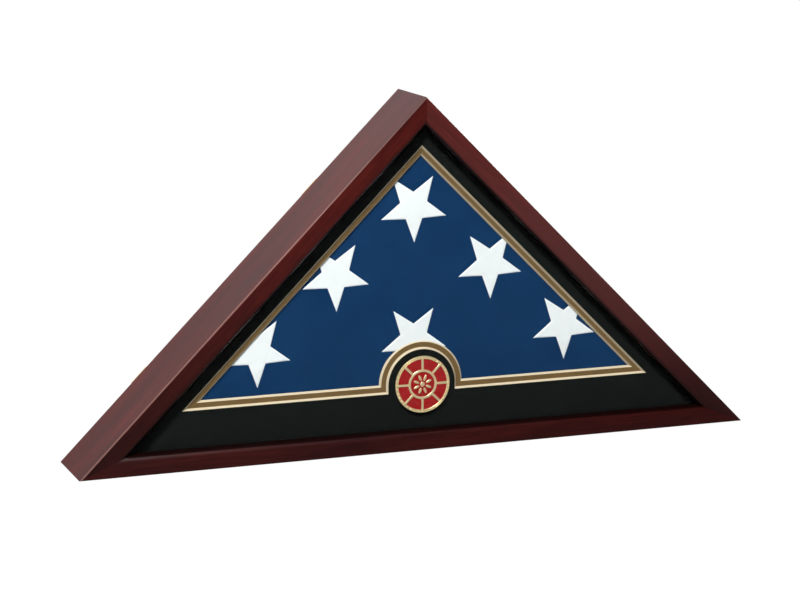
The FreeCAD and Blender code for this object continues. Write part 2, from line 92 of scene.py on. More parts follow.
# The length of each rail, the mitre at either end, its turn in degrees and the middle of its outer side
RAILS = {
    "bottom": (2 * HALF_WIDTH, BASE_MITRE, BASE_MITRE, 0, (0, 0, 0)),
    "left": (SLOPE * HALF_WIDTH, APEX_MITRE, BASE_MITRE, 135, (-HALF_WIDTH / 2, 0, HALF_WIDTH / 2)),
    "right": (SLOPE * HALF_WIDTH, BASE_MITRE, APEX_MITRE, 225, (HALF_WIDTH / 2, 0, HALF_WIDTH / 2)),
}
# Each board has its own stretch of grain: the metres along for a degree of turn, and the gaps between boards
BOARD_SHIFT = 0.01
BOTTOM_TO_LEFT = (0.6, 0.8)
LEFT_TO_RIGHT = (1.7, 1.9)
# Heights between which the painted arris highlight, the painted shade low on the front faces and the painted
# sheen on the right board come and go
ARRIS_HIGHLIGHT_FADES = (200 * MM, 330 * MM)
LOW_SHADE_FADES = (10 * MM, 240 * MM)
SHEEN_STARTS = (20 * MM, 120 * MM)
SHEEN_FADES = (170 * MM, 320 * MM)


class Tone:
    """A number, colour or vector on its way to a finish; sums of tones become Math nodes."""

    def __init__(self, tree, socket=None):
        self.tree = tree
        self.socket = socket

    def add(self, kind, settings, sockets, take=0):
        node = self.tree.nodes.new(kind)
        for name, choice in settings.items():
            if name == "stops":
                while len(node.color_ramp.elements) < len(choice):
                    node.color_ramp.elements.new(1)
                for stop, (position, colour) in zip(node.color_ramp.elements, choice):
                    stop.position = position
                    stop.color = colour
            else:
                setattr(node, name, choice)
        for name, source in sockets.items():
            if isinstance(source, Tone):
                self.tree.links.new(source.socket, node.inputs[name])
            else:
                node.inputs[name].default_value = source
        return Tone(self.tree, node.outputs[take])

    def maths(self, operation, first, second):
        return self.add("ShaderNodeMath", {"operation": operation}, {0: first, 1: second})

    def __add__(self, other):
        return self.maths("ADD", self, other)

    def __radd__(self, other):
        return self.maths("ADD", other, self)

    def __sub__(self, other):
        return self.maths("SUBTRACT", self, other)

    def __rsub__(self, other):
        return self.maths("SUBTRACT", other, self)

    def __mul__(self, other):
        return self.maths("MULTIPLY", self, other)

    def __rmul__(self, other):
        return self.maths("MULTIPLY", other, self)

    def spots(self):
        return self.add("ShaderNodeTexCoord", {}, {}, "Object")

    def axis(self, name):
        return self.add("ShaderNodeSeparateXYZ", {}, {0: self}, name)

    def between(self, low, high):
        sockets = {"Value": self, "From Min": low, "From Max": high}
        return self.add("ShaderNodeMapRange", {"interpolation_type": "SMOOTHSTEP"}, sockets)

    def stretched(self, scale):
        return self.add("ShaderNodeVectorMath", {"operation": "MULTIPLY"}, {0: self, 1: scale})

    def cloud(self, scale, detail):
        return self.add("ShaderNodeTexNoise", {}, {"Vector": self, "Scale": scale, "Detail": detail}, "Fac")

    def mixed(self, first, second):
        return self.add("ShaderNodeMix", {"data_type": "RGBA"}, {0: self, 6: first, 7: second}, 2)

    def bump(self, strength, distance):
        sockets = {"Strength": strength, "Distance": distance, "Height": self}
        return self.add("ShaderNodeBump", {}, sockets)


def shade(red, green, blue):
    light = [channel / 255 for channel in (red, green, blue)]
    return [c / 12.92 if c < 0.04 else ((c + 0.055) / 1.055) ** 2.4 for c in light] + [1]


def new_finish(name):
    finish = bpy.data.materials.new(name)
    finish.use_nodes = True
    return finish, Tone(finish.node_tree), finish.node_tree.nodes["Principled BSDF"]


def apply(shader, sockets):
    for name, source in sockets.items():
        if isinstance(source, Tone):
            source.tree.links.new(source.socket, shader.inputs[name])
        else:
            shader.inputs[name].default_value = source


def settle(name, shape, body, slot, *finishes, sharp=32):
    bmesh.ops.recalc_face_normals(shape, faces=shape.faces)
    mesh = bpy.data.meshes.new(name)
    shape.to_mesh(mesh)
    shape.free()
    for face in mesh.polygons:
        face.use_smooth = True
    mesh.set_sharp_from_angle(angle=math.radians(sharp))
    for finish in finishes:
        mesh.materials.append(finish)
    piece = bpy.data.objects.new(name, mesh)
    bpy.context.scene.collection.objects.link(piece)
    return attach(piece, body)


def rail_place(side, along=0, up=0, depth=0):
    turn, middle = RAILS[side][3:]
    rail = Matrix.Translation(middle) @ Matrix.Rotation(math.radians(turn), 4, "Y")
    return rail @ Matrix.Translation((along, depth, up))


def whole(shape):
    return shape.verts[:] + shape.edges[:] + shape.faces[:]


def verts_in(geometry):
    return [item for item in geometry if isinstance(item, bmesh.types.BMVert)]


def draw_out(shape, faces, along):
    drawn = bmesh.ops.extrude_face_region(shape, geom=faces)["geom"]
    bmesh.ops.translate(shape, verts=verts_in(drawn), vec=along)


def ease(shape, edges, radius, steps):
    bmesh.ops.bevel(shape, geom=edges, offset=radius, segments=steps, profile=0.5, affect="EDGES",
                    material=-1)


satin_mahogany, wood, lacquer = new_finish("satin_mahogany")
along_grain = wood.add("ShaderNodeAttribute", {"attribute_name": "grain"}, {}, "Vector")
figure = along_grain.stretched((7, 45, 45)).cloud(1, 3)
fibres = along_grain.stretched((30, 520, 520)).cloud(1, 4)
pores = along_grain.stretched((70, 1500, 1500)).cloud(1, 2).between(0.58, 0.72)
stain_depth = 0.55 * figure + 0.45 * fibres
stain_stops = [(0.34, shade(50, 8, 7)), (0.50, shade(67, 14, 11)), (0.66, shade(86, 23, 18))]
stain = wood.add("ShaderNodeValToRGB", {"stops": stain_stops}, {"Fac": stain_depth})
grain_along = along_grain.axis("X")
grain_deep = along_grain.axis("Y")
grain_up = along_grain.axis("Z")
above_floor = wood.spots().axis("Z")
left_board = grain_along.between(*BOTTOM_TO_LEFT) * (1 - grain_along.between(*LEFT_TO_RIGHT))
right_board = grain_along.between(*LEFT_TO_RIGHT)
# Painted highlight: a pale pink line along the front outer arris of the left board, fainter towards the
# apex.
near_front = 1 - grain_deep.between(CASE_FRONT + 0.4 * ARRIS, CASE_FRONT + 1.3 * ARRIS)
near_outside = 1 - grain_up.between(0.4 * ARRIS, 1.3 * ARRIS)
arris_highlight_strength = (0.4 + 0.5 * fibres) * (1 - 0.7 * above_floor.between(*ARRIS_HIGHLIGHT_FADES))
painted_arris_highlight = left_board * near_front * near_outside * arris_highlight_strength
# Painted shade: the front faces are darkened towards the base.
front_face = 1 - grain_deep.between(CASE_FRONT + 0.5 * MM, CASE_FRONT + 2 * MM)
painted_low_shade = 0.6 * front_face * (1 - above_floor.between(*LOW_SHADE_FADES))
# Painted shade: the rounding behind the lip's inner edge is darkened almost to black, where shade falls.
behind_face = grain_deep.between(CASE_FRONT + 0.1 * MM, CASE_FRONT + 1.8 * MM)
painted_lip_shade = behind_face * grain_up.between(10 * MM, 14 * MM)
# Painted sheen: a paler, greyer band on the right board, from low to middle height, stands for a soft
# reflection.
sheen_strength = 0.5 - 0.35 * above_floor.between(*SHEEN_FADES)
painted_sheen = right_board * above_floor.between(*SHEEN_STARTS) * sheen_strength
stain_with_sheen = painted_sheen.mixed((0.45 * pores).mixed(stain, shade(24, 5, 5)), shade(98, 54, 52))
with_painted_shade = (painted_low_shade + painted_lip_shade - painted_low_shade * painted_lip_shade).mixed(stain_with_sheen, shade(16, 3, 3))
apply(lacquer, {
    "Base Color": painted_arris_highlight.mixed(with_painted_shade, shade(146, 106, 98)),
    "Roughness": 0.38 + 0.14 * fibres - 0.22 * painted_lip_shade,
    "Normal": (fibres - 0.8 * pores).bump(0.25, 0.12 * MM),
    "Specular IOR Level": 0.17,
})

for side, (length, start_mitre, end_mitre, turn, _) in RAILS.items():
    rail = bmesh.new()
    end_grain = rail.faces.new([rail.verts.new((-length / 2, y, z)) for y, z in RAIL_SECTION])
    draw_out(rail, [end_grain], (length, 0, 0))
    for y, z, radius, steps in RAIL_EASING:
        arris = [
            edge for edge in rail.edges
            if all(abs(v.co.y - y) < SAME_PLACE and abs(v.co.z - z) < SAME_PLACE for v in edge.verts)
        ]
        ease(rail, arris, radius, steps)
    for end, mitre in ((-1, start_mitre), (1, end_mitre)):
        sawn = bmesh.ops.bisect_plane(
            rail, geom=whole(rail), clear_outer=True,
            plane_co=(end * length / 2, 0, 0), plane_no=(end * math.sin(mitre), 0, math.cos(mitre)),
        )["geom_cut"]
        rim_edges = [item for item in sawn if isinstance(item, bmesh.types.BMEdge)]
        bmesh.ops.contextual_create(rail, geom=rim_edges)
        ease(rail, rim_edges, MITRE_EASE, 2)
    bmesh.ops.remove_doubles(rail, verts=rail.verts, dist=SAME_PLACE)
    grain = rail.verts.layers.float_vector.new("grain")
    for vert in rail.verts:
        vert[grain] = vert.co + Vector((turn * BOARD_SHIFT, 0, 0))
    bmesh.ops.transform(rail, matrix=rail_place(side), verts=rail.verts)
    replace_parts(settle(f"{side}_moulding", rail, "frame", "frame_wood", satin_mahogany), f"{side}_rail")

# Mitre keys
# A flat tongue of plain beech is glued into a sawn slot across each mitre.
# None of it shows from outside.
pale_beech, wood, raw_wood = new_finish("pale_beech")
key_grain = wood.spots().stretched((600, 25, 600)).cloud(1, 3)
apply(raw_wood, {
    "Base Color": key_grain.mixed(shade(186, 150, 112), shade(214, 182, 142)),
    "Roughness": 0.6 + 0.15 * key_grain,
})


def dress(finish, *nodes):
    for node in nodes:
        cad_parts[node].material_slots[0].material = finish


dress(pale_beech, "apex_spline", "left_spline", "right_spline")

# Glass
# One triangle of thin clear picture glass lies against the back of the lip.
# It is low in reflection, and only a faint smear of handling changes its shine.
FACE_SHINE = 0.0023
EDGE_SHINE = 0.5
EDGE_POWER = 5

clear_glass, pane, plain_shader = new_finish("clear_glass")
pane.tree.nodes.remove(plain_shader)
smear = pane.spots().stretched((6, 6, 22)).cloud(1, 4)
grazing = pane.add("ShaderNodeLayerWeight", {}, {"Blend": 0.5}, "Facing")
clean_glint = FACE_SHINE + EDGE_SHINE * pane.maths("POWER", grazing, EDGE_POWER)
glint = clean_glint * (0.8 + 0.4 * smear)
see_through = pane.add("ShaderNodeBsdfTransparent", {}, {"Color": (0.985, 0.99, 0.985, 1)})
shine = pane.add("ShaderNodeBsdfGlossy", {}, {"Roughness": 0.03})
glazing = pane.add("ShaderNodeMixShader", {}, {0: glint, 1: see_through, 2: shine})
apply(pane.tree.nodes["Material Output"], {"Surface": glazing})
dress(clear_glass, "glass_pane")

# Spacers
# Strips of matt black plastic stand the mats off the glass along each side.
# They lie out of sight behind the lip.
matt_black, strip, strip_face = new_finish("matt_black")
strip_grain = strip.spots().cloud(900, 2)
apply(strip_face, {
    "Base Color": strip_grain.mixed(shade(7, 7, 7), shade(16, 16, 16)),
    "Roughness": 0.75 + 0.15 * strip_grain,
    "Normal": strip_grain.bump(0.3, 0.1 * MM),
    "Specular IOR Level": 0.05,
})
dress(matt_black, "left_spacer", "right_spacer", "bottom_spacer")

# Mats
# Two boards of paper-faced rag core lie one on the other, the black one in front of the gold one.
# Each window is cut with a slanted blade that lays the cream core bare, and arches over the medallion.
MAT_EDGE = 16.5 * MM
MAT_THICK = 1.8 * MM
BEVEL_RUN = 1.8 * MM
MAT_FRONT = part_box("upper_mat")[0].y
LEG_MARGIN = 32.7 * MM
BASE_MARGIN = 54.2 * MM
LEG_REVEAL = 5.4 * MM
BASE_REVEAL = 6.6 * MM
ARCH_RADIUS = 33.7 * MM
ARCH_HEIGHT = 61.7 * MM
ARCH_STEPS = 48


def newest(shape, count):
    shape.verts.ensure_lookup_table()
    return shape.verts[count:]


def edges_at(verts):
    return list(dict.fromkeys(edge for vert in verts for edge in vert.link_edges))


def triangle(inset):
    reach = HALF_WIDTH - inset * (1 + SLOPE)
    return [(-reach, inset), (reach, inset), (0, HALF_WIDTH - inset * SLOPE)]


def closed_loop(shape, points, depth):
    verts = [shape.verts.new((x, depth, z)) for x, z in points]
    return [shape.edges.new((vert, verts[index - 1])) for index, vert in enumerate(verts)]


def window_loop(shape, leg_grow, base_grow, depth):
    leg, base, radius = LEG_MARGIN + leg_grow, BASE_MARGIN + base_grow, ARCH_RADIUS + base_grow
    apex = HALF_WIDTH - leg * SLOPE
    made = len(shape.verts)
    springing = shape.verts.new((-radius, depth, ARCH_HEIGHT))
    arch = bmesh.ops.spin(shape, geom=[springing], cent=(0, depth, ARCH_HEIGHT), axis=(0, 1, 0),
                          dvec=(0, 0, 0), angle=math.pi, steps=ARCH_STEPS)
    arch_edges = edges_at(newest(shape, made))
    points = [(radius, base), (apex - base, base), (0, apex), (base - apex, base), (-radius, base)]
    corners = [shape.verts.new((x, depth, z)) for x, z in points]
    verts = [arch["geom_last"][0]] + corners + [springing]
    return arch_edges + [shape.edges.new(pair) for pair in zip(verts, verts[1:])]


def mat_board(name, node, front, leg_grow, base_grow, slot, paper):
    board = bmesh.new()
    windows = [
        window_loop(board, leg_grow, base_grow, front),
        window_loop(board, leg_grow + BEVEL_RUN, base_grow + BEVEL_RUN, front + MAT_THICK),
    ]
    outlines = [closed_loop(board, triangle(MAT_EDGE), front + step) for step in (0, MAT_THICK)]
    for window, outline in zip(windows, outlines):
        bmesh.ops.triangle_fill(board, use_beauty=True, edges=window + outline)
    bmesh.ops.bridge_loops(board, edges=outlines[0] + outlines[1])
    cut = bmesh.ops.bridge_loops(board, edges=windows[0] + windows[1])["faces"]
    for face in cut:
        face.material_index = 1
    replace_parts(settle(name, board, "frame", slot, paper, cream_core, sharp=20), node)


cream_core, core, core_face = new_finish("cream_core")
core_fibres = core.spots().cloud(700, 3)
apply(core_face, {
    "Base Color": core_fibres.mixed(shade(190, 174, 148), shade(208, 194, 168)),
    "Roughness": 0.85,
    "Specular IOR Level": 0.2,
})

black_paper, paper, paper_face = new_finish("black_mat_paper")
paper_tooth = paper.spots().cloud(1600, 3)
paper_cloud = paper.spots().cloud(22, 3)
apply(paper_face, {
    "Base Color": (0.6 * paper_cloud + 0.4 * paper_tooth).mixed(shade(13, 16, 15), shade(24, 28, 26)),
    "Roughness": 0.82 + 0.12 * paper_tooth,
    "Normal": paper_tooth.bump(0.12, 0.04 * MM),
    "Specular IOR Level": 0.04,
})
mat_board("black_mat", "upper_mat", MAT_FRONT, 0, 0, "black_mat", black_paper)

gold_paper, paper, paper_face = new_finish("gold_mat_paper")
gold_flake = paper.spots().cloud(1100, 4)
gold_cloud = paper.spots().cloud(30, 3)
apply(paper_face, {
    "Base Color": (0.5 * gold_cloud + 0.5 * gold_flake).mixed(shade(102, 78, 42), shade(134, 105, 61)),
    "Roughness": 0.5 + 0.2 * gold_flake,
    "Metallic": 0.3,
    "Normal": gold_flake.bump(0.25, 0.04 * MM),
})
mat_board("gold_mat", "lower_mat", MAT_FRONT + MAT_THICK, LEG_REVEAL, BASE_REVEAL, "gold_mat", gold_paper)

# Medallion
# A struck brass disc with a beaded rim, eight ribs and a rosette stands on a foam pad stuck to the mat.
# Red enamel fills the fields between the ribs, and the recesses of the metal are darkened.
FULL_TURN = 2 * math.pi
MEDAL_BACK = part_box("medallion_plate")[1].y
MEDAL_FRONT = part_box("medallion_plate")[0].y
MEDAL_PLACE = Matrix.Translation((0, MEDAL_BACK, ARCH_HEIGHT))
# The profiles give radius and height above the back in millimetres
PLATE_TOP = 1.2
FIELD_OUTER = 24.6
FIELD_INNER = 14.4
RING_INNER = 12
MEDAL_PROFILE = [
    (0, 0), (27.1, 0), (27.5, 0.4), (27.5, 1.9), (27.2, 2.25), (26.8, 2.25), (26.6, 1.75), (25.4, 1.75),
    (25.2, 2.25), (24.9, 2.3), (FIELD_OUTER, 2.1), (FIELD_OUTER, PLATE_TOP), (FIELD_INNER, PLATE_TOP),
    (FIELD_INNER, 2.0), (14.1, 2.3), (12.3, 2.3), (RING_INNER, 2.0), (RING_INNER, PLATE_TOP),
    (0, PLATE_TOP),
]
FIELD_PROFILE = [
    (FIELD_INNER, PLATE_TOP), (FIELD_OUTER, PLATE_TOP), (FIELD_OUTER, 1.75), (22.5, 1.9), (16.5, 1.9),
    (FIELD_INNER, 1.75),
]
MIDDLE_PROFILE = [(0, PLATE_TOP), (RING_INNER, PLATE_TOP), (RING_INNER, 1.6), (11.2, 1.75), (0, 1.75)]
MEDAL_STEPS = 128
FIELD_STEPS = 10
MIDDLE_STEPS = 64
FIELDS = 8
FIELD_MIDDLE = 19 * MM
RIB_WIDTH = 2.4 * MM
RIB_SIZE = (10.8 * MM, 1.6 * MM, RIB_WIDTH)
RIB_AT = (19.5 * MM, -1.4 * MM, 0)
RIB_EASE = 0.45 * MM
PETAL_SIZE = (3.1 * MM, 0.75 * MM, 1.35 * MM)
PETAL_AT = (6.6 * MM, -1.75 * MM, 0)
BEADS = 40
BEAD_SIZE = (0.95 * MM, 0.95 * MM, 0.95 * MM)
BEAD_AT = (26 * MM, -1.5 * MM, 0)
BOSS_SIZE = (2.7 * MM, 1.15 * MM, 2.7 * MM)
BOSS_AT = (0, -1.25 * MM, 0)


def in_relief(profile):
    return [(radius * MM, -height * MM) for radius, height in profile]


def spun(shape, points, sweep, steps, closed=False):
    verts = [shape.verts.new((radius, depth, 0)) for radius, depth in points]
    edges = [shape.edges.new(pair) for pair in zip(verts, verts[1:])]
    geometry = verts + edges
    if closed:
        geometry = [shape.faces.new(verts)]
    bmesh.ops.spin(shape, geom=geometry, cent=(0, 0, 0), axis=(0, 1, 0), dvec=(0, 0, 0), angle=sweep,
                   steps=steps, use_merge=sweep == FULL_TURN)


def set_on_disc(shape, verts, size, at, turn):
    place = Matrix.Rotation(turn, 4, "Y") @ Matrix.Translation(at) @ Matrix.Diagonal((*size, 1))
    bmesh.ops.transform(shape, matrix=place, verts=verts)


antique_brass, metal, metal_face = new_finish("antique_brass")
depth_down = metal.spots().axis("Y")
high_spots = 1 - depth_down.between(MEDAL_FRONT + 0.35 * MM, MEDAL_BACK - 1.1 * MM)
tarnish = metal.spots().cloud(420, 4)
rubbed = (high_spots + 0.5 * tarnish - 0.25).between(0.05, 0.75)
apply(metal_face, {
    "Base Color": rubbed.mixed(shade(112, 84, 46), shade(238, 218, 172)),
    "Metallic": 0.65,
    "Roughness": 0.5 - 0.15 * rubbed,
    "Normal": tarnish.bump(0.2, 0.05 * MM),
})
red_enamel, glaze, glaze_face = new_finish("red_enamel")
ripple = glaze.spots().cloud(260, 3)
apply(glaze_face, {
    "Base Color": ripple.mixed(shade(136, 10, 14), shade(170, 20, 22)),
    "Roughness": 0.16 + 0.12 * ripple,
    "Normal": ripple.bump(0.15, 0.05 * MM),
    "Coat Weight": 0.1,
    "Specular IOR Level": 0.3,
})

medal = bmesh.new()
spun(medal, in_relief(MEDAL_PROFILE), FULL_TURN, MEDAL_STEPS)
bmesh.ops.remove_doubles(medal, verts=medal.verts, dist=SAME_PLACE)
for index in range(FIELDS):
    turn = FULL_TURN * index / FIELDS
    rib = bmesh.ops.create_cube(medal, size=1)["verts"]
    set_on_disc(medal, rib, RIB_SIZE, RIB_AT, turn)
    ease(medal, edges_at(rib), RIB_EASE, 3)
    petal = bmesh.ops.create_uvsphere(medal, u_segments=14, v_segments=10, radius=1)["verts"]
    set_on_disc(medal, petal, PETAL_SIZE, PETAL_AT, turn + FULL_TURN / FIELDS / 2)
for index in range(BEADS):
    bead = bmesh.ops.create_icosphere(medal, subdivisions=2, radius=1)["verts"]
    set_on_disc(medal, bead, BEAD_SIZE, BEAD_AT, FULL_TURN * index / BEADS)
boss = bmesh.ops.create_uvsphere(medal, u_segments=24, v_segments=14, radius=1)["verts"]
set_on_disc(medal, boss, BOSS_SIZE, BOSS_AT, 0)
bmesh.ops.transform(medal, matrix=MEDAL_PLACE, verts=medal.verts)
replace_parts(settle("medallion_disc", medal, "frame", "antique_brass", antique_brass), "medallion_plate")

enamel = bmesh.new()
half_rib = RIB_WIDTH / 2 / FIELD_MIDDLE
for index in range(FIELDS):
    made = len(enamel.verts)
    spun(enamel, in_relief(FIELD_PROFILE), FULL_TURN / FIELDS - 2 * half_rib, FIELD_STEPS, closed=True)
    turned = Matrix.Rotation(FULL_TURN * index / FIELDS + half_rib, 4, "Y")
    bmesh.ops.transform(enamel, matrix=turned, verts=newest(enamel, made))
spun(enamel, in_relief(MIDDLE_PROFILE), FULL_TURN, MIDDLE_STEPS)
bmesh.ops.remove_doubles(enamel, verts=enamel.verts, dist=SAME_PLACE)
bmesh.ops.transform(enamel, matrix=MEDAL_PLACE, verts=enamel.verts)
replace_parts(settle("medallion_fields", enamel, "frame", "red_enamel", red_enamel), "medallion_enamel")

white_foam, foam, foam_face = new_finish("white_foam_pad")
cells = foam.spots().cloud(1200, 2)
apply(foam_face, {
    "Base Color": cells.mixed(shade(196, 194, 188), shade(226, 225, 220)),
    "Roughness": 0.8 + 0.1 * cells,
})
dress(white_foam, "medallion_pad")

# Retaining beads
# Square strips of stained pine behind the mats hold the glazing in.
# Headless steel pins fix them to the rails.
stained_pine, wood, raw_wood = new_finish("stained_pine")
strip_fibres = wood.spots().stretched((60, 700, 60)).cloud(1, 4)
apply(raw_wood, {
    "Base Color": strip_fibres.mixed(shade(58, 22, 18), shade(88, 40, 31)),
    "Roughness": 0.6 + 0.2 * strip_fibres,
    "Normal": strip_fibres.bump(0.2, 0.1 * MM),
})
dress(stained_pine, "left_bead", "right_bead", "bottom_bead")
bright_steel, metal, metal_face = new_finish("bright_steel")
drawn_wire = metal.spots().cloud(900, 2)
apply(metal_face, {
    "Base Color": drawn_wire.mixed(shade(150, 150, 152), shade(190, 190, 192)),
    "Metallic": 1.0,
    "Roughness": 0.3 + 0.2 * drawn_wire,
})
dress(bright_steel, "bead_brads")

# Folded flag
# A cotton flag folded point over point into a thick triangle, the starred blue field outermost.
# It rests on the bottom rail and is pressed lightly against the mats by the panel.
FLAG_EDGE = 16.8 * MM
FLAG_FRONT, FLAG_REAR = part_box("folded_flag")[0].y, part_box("folded_flag")[1].y
FLAG_CORNER = 26 * MM
CORNER_CUTS = 7
FRONT_FOLD = 20 * MM
REAR_FOLD = 9 * MM
SIDE_FRONT, SIDE_REAR = FLAG_FRONT + FRONT_FOLD, FLAG_REAR - REAR_FOLD
CLOTH_STEP = 3 * MM
EDGE_LOOPS = (0, 0.5 * MM, 1.6 * MM)
EDGE_MERGE = 0.15 * MM
FOLDS = 9
FOLD_CUTS = 4
FOLD_DEPTH = 1.3 * MM
FOLD_DRIFT = 0.12
DRIFT_SCALE = 12
SWELL = 1.3 * MM
SWELL_RUN = 40 * MM
REAR_SWELL = 0.5 * MM
REAR_SHIFT = 1
# The height, the scale and the slice of noise of the broad creases and of the fine ones
CREASES = [(0.35 * MM, 16, 3.1), (0.10 * MM, 46, 7.7)]


def flag_sides():
    normals = [Vector((0, -1)), Vector((1, 1)).normalized(), Vector((-1, 1)).normalized()]
    offsets = [-FLAG_EDGE] + [HALF_WIDTH / SLOPE - FLAG_EDGE] * 2
    sides = list(zip(normals, offsets))
    for first, second in ((0, 1), (1, 2), (2, 0)):
        start, finish = normals[first], normals[second]
        span = start.angle(finish)
        across = (finish - start * start.dot(finish)).normalized()
        reach = [offsets[first] - FLAG_CORNER, offsets[second] - FLAG_CORNER]
        centre = start * reach[0] + across * (reach[1] - reach[0] * math.cos(span)) / math.sin(span)
        for cut in range(1, CORNER_CUTS):
            angle = span * cut / CORNER_CUTS
            normal = start * math.cos(angle) + across * math.sin(angle)
            sides.append((normal, normal.dot(centre) + FLAG_CORNER))
    return sides


FLAG_SIDES = flag_sides()


def inside_edge(x, z):
    spot = Vector((x, z))
    depths = [(offset - normal.dot(spot), normal) for normal, offset in FLAG_SIDES]
    return min(depths, key=lambda depth: depth[0])


def rolled(inward, radius):
    gone = max(radius - inward, 0)
    return radius - math.sqrt(max(radius * radius - gone * gone, 0))


def crumple(x, z):
    creases = [
        height * noise.noise(Vector((x * scale, layer, z * scale))) for height, scale, layer in CREASES
    ]
    return sum(creases)


def flag_front(x, z):
    inward = inside_edge(x, z)[0]
    from_legs = (HALF_WIDTH - z - abs(x)) / SLOPE - LEG_MARGIN - LEG_REVEAL
    from_base = z - BASE_MARGIN - BASE_REVEAL
    swell = min(max(min(from_legs, from_base) / SWELL_RUN, 0), 1)
    swollen = (SWELL + crumple(x, z)) * swell * swell * (3 - 2 * swell)
    return FLAG_FRONT + rolled(inward, FRONT_FOLD) - swollen


def flag_rear(x, z):
    inward = inside_edge(x, z)[0]
    slack = (REAR_SWELL + crumple(x, z + REAR_SHIFT)) * min(inward / REAR_FOLD, 1)
    return FLAG_REAR - rolled(inward, REAR_FOLD) - slack


blue_cotton, cloth, cloth_face = new_finish("blue_cotton")
spread = cloth.spots()
warp = cloth.add("ShaderNodeTexWave", {"bands_direction": "X"}, {"Vector": spread, "Scale": 520}, "Fac")
weft = cloth.add("ShaderNodeTexWave", {"bands_direction": "Z"}, {"Vector": spread, "Scale": 520}, "Fac")
weave = 0.5 * warp + 0.5 * weft
dye = 0.6 * spread.cloud(34, 4) + 0.25 * spread.cloud(300, 2) + 0.15 * weave
apply(cloth_face, {
    "Base Color": dye.mixed(shade(5, 39, 76), shade(20, 61, 103)),
    "Roughness": 0.85 - 0.1 * weave,
    "Normal": (weave + 2 * spread.cloud(160, 2)).bump(0.3, 0.12 * MM),
    "Sheen Weight": 0.03,
    "Specular IOR Level": 0.04,
})

flag = bmesh.new()
flag_width, flag_height = 2 * HALF_WIDTH, HALF_WIDTH
columns, rows = int(flag_width / CLOTH_STEP), int(flag_height / CLOTH_STEP)
bmesh.ops.create_grid(flag, x_segments=columns, y_segments=rows, size=0.5)
stood_up = Matrix.Translation((0, 0, flag_height / 2)) @ Matrix.Rotation(math.pi / 2, 4, "X")
to_size = Matrix.Diagonal((flag_width, flag_height, 1, 1))
bmesh.ops.transform(flag, matrix=stood_up @ to_size, verts=flag.verts)
for normal, offset in FLAG_SIDES:
    for inset in EDGE_LOOPS:
        bmesh.ops.bisect_plane(
            flag, geom=whole(flag), clear_outer=inset == 0, dist=SAME_PLACE,
            plane_co=(normal.x * (offset - inset), 0, normal.y * (offset - inset)),
            plane_no=(normal.x, 0, normal.y),
        )
bmesh.ops.remove_doubles(flag, verts=flag.verts, dist=EDGE_MERGE)
grown = bmesh.ops.extrude_face_region(flag, geom=flag.faces[:])["geom"]
rear_verts = set(verts_in(grown))
front_verts = [vert for vert in flag.verts if vert not in rear_verts]
side_edges = [
    edge for edge in flag.edges
    if (edge.verts[0] in rear_verts) != (edge.verts[1] in rear_verts)
]
for vert in front_verts:
    vert.co.y = flag_front(vert.co.x, vert.co.z)
for vert in rear_verts:
    vert.co.y = flag_rear(vert.co.x, vert.co.z)
split = bmesh.ops.subdivide_edges(flag, edges=side_edges, cuts=FOLD_CUTS * FOLDS - 1, use_grid_fill=True)
for vert in set(verts_in(split["geom_inner"])):
    share = (vert.co.y - SIDE_FRONT) / (SIDE_REAR - SIDE_FRONT)
    drift = FOLD_DRIFT * noise.noise(Vector((vert.co.x * DRIFT_SCALE, 0, vert.co.z * DRIFT_SCALE)))
    wandered = share + drift * share * (1 - share) * 4
    groove = 1 - abs(math.sin(math.pi * FOLDS * wandered))
    normal = inside_edge(vert.co.x, vert.co.z)[1]
    vert.co -= Vector((normal.x, 0, normal.y)) * FOLD_DEPTH * groove
folded_flag = settle("flag_bundle", flag, "frame", "flag_cloth", blue_cotton, sharp=70)
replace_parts(folded_flag, "folded_flag")

# Flag stars
# White five-pointed stars are embroidered on the blue field, in offset rows, on both faces of the bundle.
# The satin stitch is packed thickest along each star's border.
STAR_POINTS = 5
STAR_RADIUS = 34.2 * MM
STAR_WAIST = 0.41
STAR_CUTS = 15
STAR_ROWS = [232 * MM, 172 * MM, 106 * MM]
STAR_STEP = 155.5 * MM
STARS_MIDDLE = -7 * MM
FIELD_TILT = math.radians(0.8)
THREAD_GAP = 0.05 * MM
THREAD_RISE = 0.3 * MM
THREAD_RAMP = 0.9 * MM
THREAD_ROOT = 1 * MM
BORDER_RISE = 0.12 * MM
BORDER_HALF = 1.2 * MM

white_thread, thread, thread_face = new_finish("white_thread")
stitched = thread.spots()
stitches = thread.add("ShaderNodeTexWave", {"bands_direction": "X"},
                      {"Vector": stitched, "Scale": 430, "Distortion": 1.5, "Detail": 1}, "Fac")
bleach = 0.5 * stitches + 0.5 * stitched.cloud(120, 3)
apply(thread_face, {
    "Base Color": bleach.mixed(shade(226, 232, 234), shade(246, 250, 251)),
    "Roughness": 0.6 + 0.15 * stitches,
    "Normal": stitches.bump(0.25, 0.1 * MM),
    "Specular IOR Level": 0.25,
})


